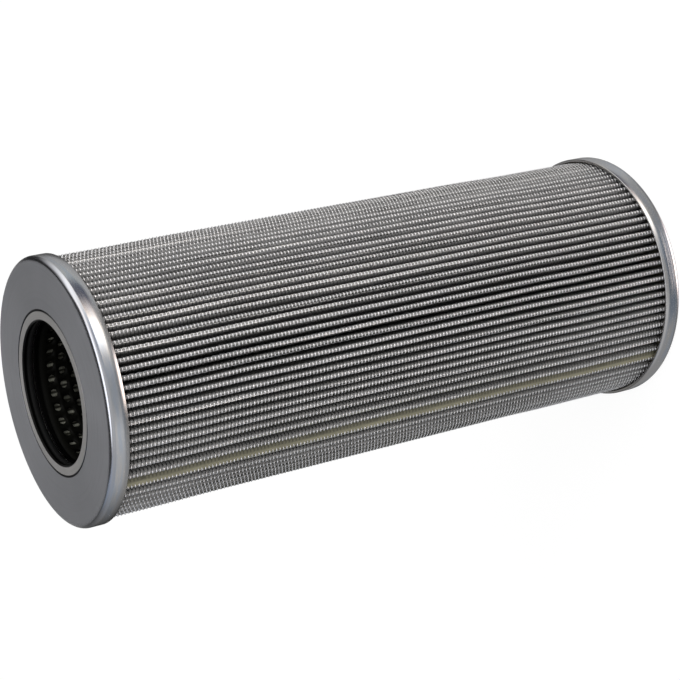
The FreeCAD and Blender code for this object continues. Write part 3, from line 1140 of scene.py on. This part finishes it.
class FILTER_OT_wire_cloth(bpy.types.Operator):
    """Weaves the wire cloth over the pleats' crests"""
    bl_idname = "filter_element.wire_cloth"
    bl_label = "Wire cloth"

    def execute(self, context):
        cloth = context.scene.filter_cloth
        pitch = PACK_HEIGHT / cloth.rungs
        flats = []
        for bm, runs_along in ((flat_rungs(cloth, pitch), False), (flat_runners(cloth, pitch), True)):
            bmesh.ops.recalc_face_normals(bm, faces=bm.faces)
            mesh = as_mesh("flat wires", bm)
            places = places_of(mesh)
            lay_map(mesh, places, cloth)
            flats.append((mesh, places, runs_along))
        finish = wire_finish(context.scene.filter_colours)
        angles = crest_angles(cloth)
        share = math.ceil(len(angles) / CLOTH_PIECES)
        for group in range(CLOTH_PIECES):
            bm = bmesh.new()
            for number in range(group * share, min((group + 1) * share, len(angles))):
                for mesh, places, runs_along in flats:
                    aside, radial = woven(cloth, places, pitch, number, runs_along)
                    folded_places = at_crest(angles[number], radial, aside, places[:, 2])
                    folded_places[:, 0] += bulging(cloth, places[:, 2])
                    mesh.vertices.foreach_set("co", folded_places.ravel())
                    bm.from_mesh(mesh)
            whole_cloth = as_mesh(f"wire_cloth_{group + 1}", bm)
            add_piece(whole_cloth, finish, ["outer_mesh"], sharp=100)
        for flat in flats:
            bpy.data.meshes.remove(flat[0])
        return {"FINISHED"}


class FILTER_OT_side_seam(bpy.types.Operator):
    """Lays the glued side seam between the pack's two ends"""
    bl_idname = "filter_element.side_seam"
    bl_label = "Side seam"

    def execute(self, context):
        cloth = context.scene.filter_cloth
        bm = bmesh.new()
        layer = bm.loops.layers.uv.new(MAP)
        section = [at_crest(cloth.seam_place, cloth.crest + out * MM, aside * MM, PACK_BOTTOM)
                   for aside, out in SEAM_SECTION]
        faces = [bm.faces.new([bm.verts.new(place) for place in section])]
        for step in range(SEAM_LENGTHS):
            grown = bmesh.ops.extrude_face_region(bm, geom=faces)["geom"]
            faces = only(grown, bmesh.types.BMFace)
            lifted = only(grown, bmesh.types.BMVert)
            bmesh.ops.translate(bm, verts=lifted, vec=(0, 0, PACK_HEIGHT / SEAM_LENGTHS))
        bmesh.ops.recalc_face_normals(bm, faces=bm.faces)
        outwards = Matrix.Rotation(cloth.seam_place, 3, "Z")
        for corner in bm.verts:
            along = along_pack(corner.co.z)
            aside = (outwards.transposed() @ corner.co).y
            for loop in corner.link_loops:
                loop[layer].uv = (aside / SEAM_MAP_WIDTH + 0.6, along)
            # The adhesive sways and swells a little along its length, in millimetres
            sway = 0.07 * math.sin(math.tau * 2.2 * along + 0.6) + 0.05 * math.sin(math.tau * 7.3 * along)
            swell = 0.03 * math.sin(math.tau * 5.1 * along + 1.0)
            corner.co += outwards @ Vector((swell, sway, 0.0)) * MM
            corner.co.x += bulging(cloth, corner.co.z)
        finish = seam_finish(context.scene.filter_colours, cloth.rungs)
        add_piece(as_mesh("seam_strip", bm), finish, ["side_seam"], sharp=50)
        return {"FINISHED"}


class FILTER_OT_potting(bpy.types.Operator):
    """Dresses the adhesive inside the caps"""
    bl_idname = "filter_element.potting"
    bl_label = "Potting"

    def execute(self, context):
        finish = resin_finish(context.scene.filter_colours)
        for node in ("potting_open", "potting_blind"):
            dress(node, finish)
        return {"FINISHED"}


OPERATORS = (
    FILTER_OT_stage,
    FILTER_OT_end_caps,
    FILTER_OT_collar,
    FILTER_OT_seal,
    FILTER_OT_core_tube,
    FILTER_OT_pleated_sheet,
    FILTER_OT_wire_cloth,
    FILTER_OT_side_seam,
    FILTER_OT_potting,
)


class FILTER_PT_panel(bpy.types.Panel):
    bl_idname = "FILTER_PT_panel"
    bl_label = "Filter Element"
    bl_space_type = "VIEW_3D"
    bl_region_type = "UI"
    bl_category = "Filter Element"

    def draw(self, context):
        for operator in OPERATORS:
            self.layout.operator(operator.bl_idname)


SETTINGS = {
    "filter_caps": CapSizes,
    "filter_collar": CollarSizes,
    "filter_tube": TubeSizes,
    "filter_cloth": ClothSizes,
    "filter_colours": Colours,
    "filter_stage": StageSettings,
}


def register():
    for cls in (*SETTINGS.values(), *OPERATORS, FILTER_PT_panel):
        bpy.utils.register_class(cls)
    for name, group in SETTINGS.items():
        setattr(bpy.types.Scene, name, PointerProperty(type=group))


def unregister():
    for name in SETTINGS:
        delattr(bpy.types.Scene, name)
    for cls in (FILTER_PT_panel, *reversed(OPERATORS), *reversed(list(SETTINGS.values()))):
        bpy.utils.unregister_class(cls)


def main():
    register()
    bpy.ops.filter_element.stage()
    bpy.ops.filter_element.end_caps()
    bpy.ops.filter_element.collar()
    bpy.ops.filter_element.seal()
    bpy.ops.filter_element.core_tube()
    bpy.ops.filter_element.pleated_sheet()
    bpy.ops.filter_element.wire_cloth()
    bpy.ops.filter_element.side_seam()
    bpy.ops.filter_element.potting()


if __name__ == "__main__":
    main()
